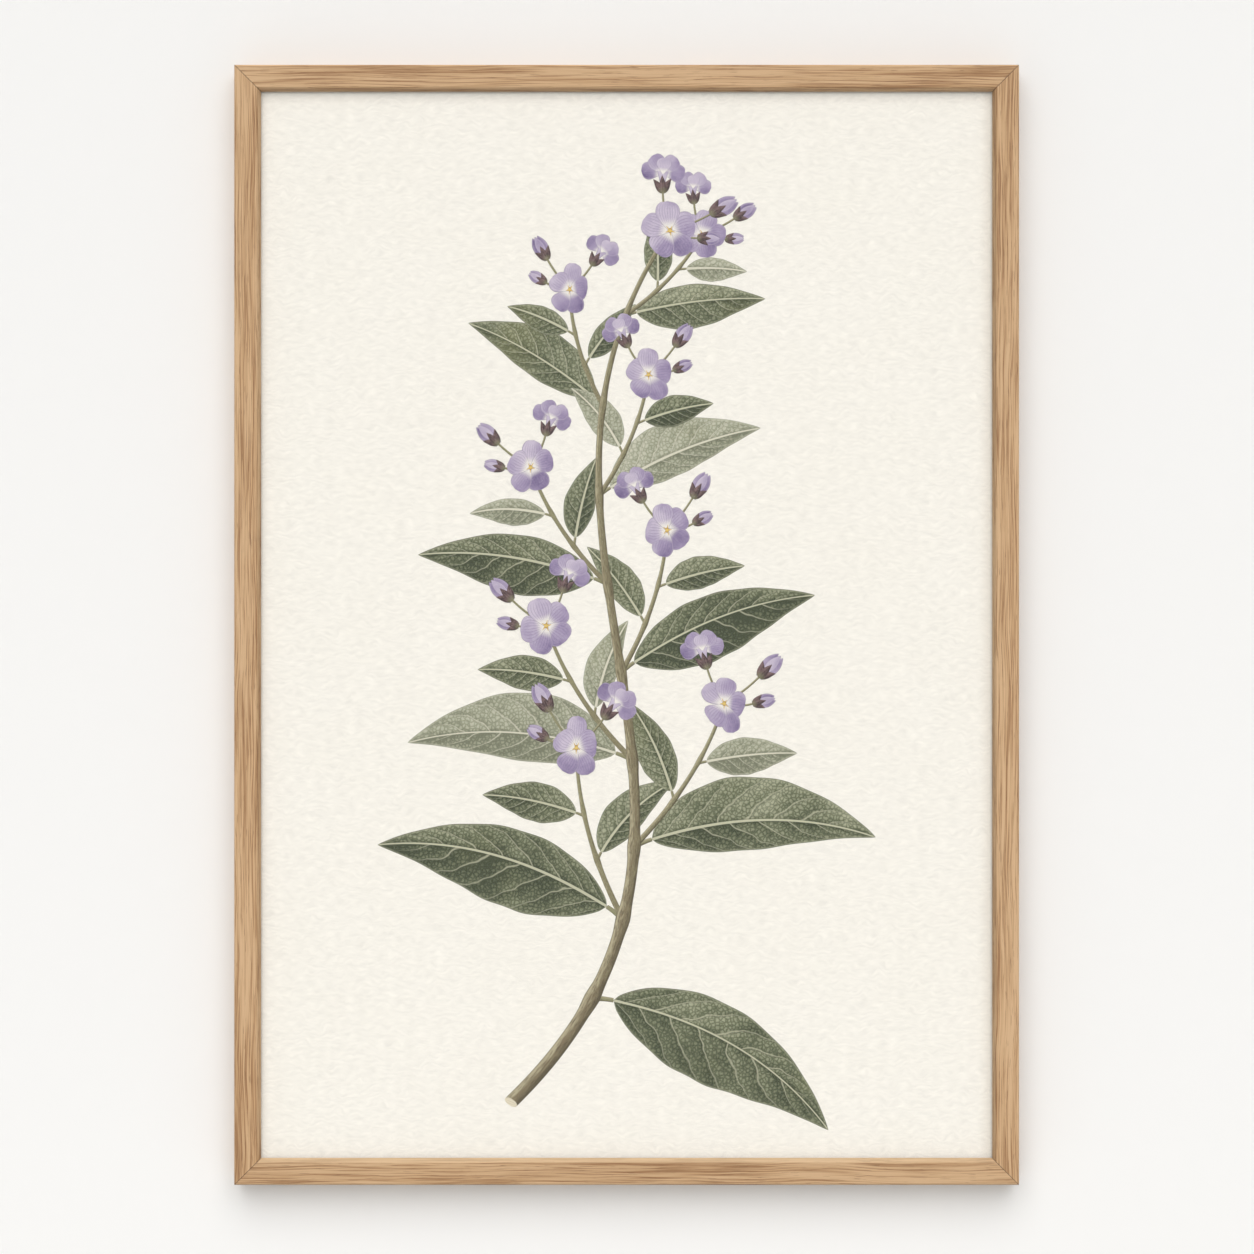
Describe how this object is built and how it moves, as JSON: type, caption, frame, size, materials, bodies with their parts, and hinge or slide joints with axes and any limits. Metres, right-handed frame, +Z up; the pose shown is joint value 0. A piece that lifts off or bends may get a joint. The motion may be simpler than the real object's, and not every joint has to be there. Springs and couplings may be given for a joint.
{
  "type": "framed botanical print",
  "caption": "Printed flower sheet behind a clear pane in a slim mitred oak picture frame with a sawtooth hanger.",
  "frame": {"origin": "flat roof of the sawtooth hanger's middle notch, at the middle of the strip's thickness, where the wall's nail carries the frame", "axes": "+Z up, +Y towards the wall, the picture faces -Y, +X to the right as the picture is seen"},
  "size_m": [0.433, 0.0231, 0.618],
  "materials": {
    "oak": "straight-grained light oak, clear matt oil",
    "acrylic": "clear, low reflection",
    "paper": "uncoated cream art paper with slight tooth, printed",
    "ink_leaf_dark": "matt print, deep grey-green",
    "ink_leaf_pale": "matt print, pale grey-green",
    "ink_stem": "matt print, brownish green",
    "ink_petal": "matt print, lilac",
    "ink_calyx": "matt print, purple-brown",
    "fibreboard": "smooth brown hardboard",
    "zinc_steel": "zinc-plated, satin",
    "felt": "dense wool felt"
  },
  "bodies": {
    "root": {"rail_top": "oak", "rail_right": "oak", "rail_bottom": "oak", "rail_left": "oak", "acrylic_pane": "acrylic", "printed_sheet": "paper", "back_board": "fibreboard", "tab_top_1": "zinc_steel", "tab_top_2": "zinc_steel", "tab_right_1": "zinc_steel", "tab_right_2": "zinc_steel", "tab_right_3": "zinc_steel", "tab_bottom_1": "zinc_steel", "tab_bottom_2": "zinc_steel", "tab_left_1": "zinc_steel", "tab_left_2": "zinc_steel", "tab_left_3": "zinc_steel", "v_nail_top_left": "zinc_steel", "v_nail_top_right": "zinc_steel", "v_nail_bottom_right": "zinc_steel", "v_nail_bottom_left": "zinc_steel", "sawtooth_hanger": "zinc_steel", "hanger_pin_left": "zinc_steel", "hanger_pin_right": "zinc_steel", "wall_bumper_left": "felt", "wall_bumper_right": "felt"}
  },
  "joints": []
}
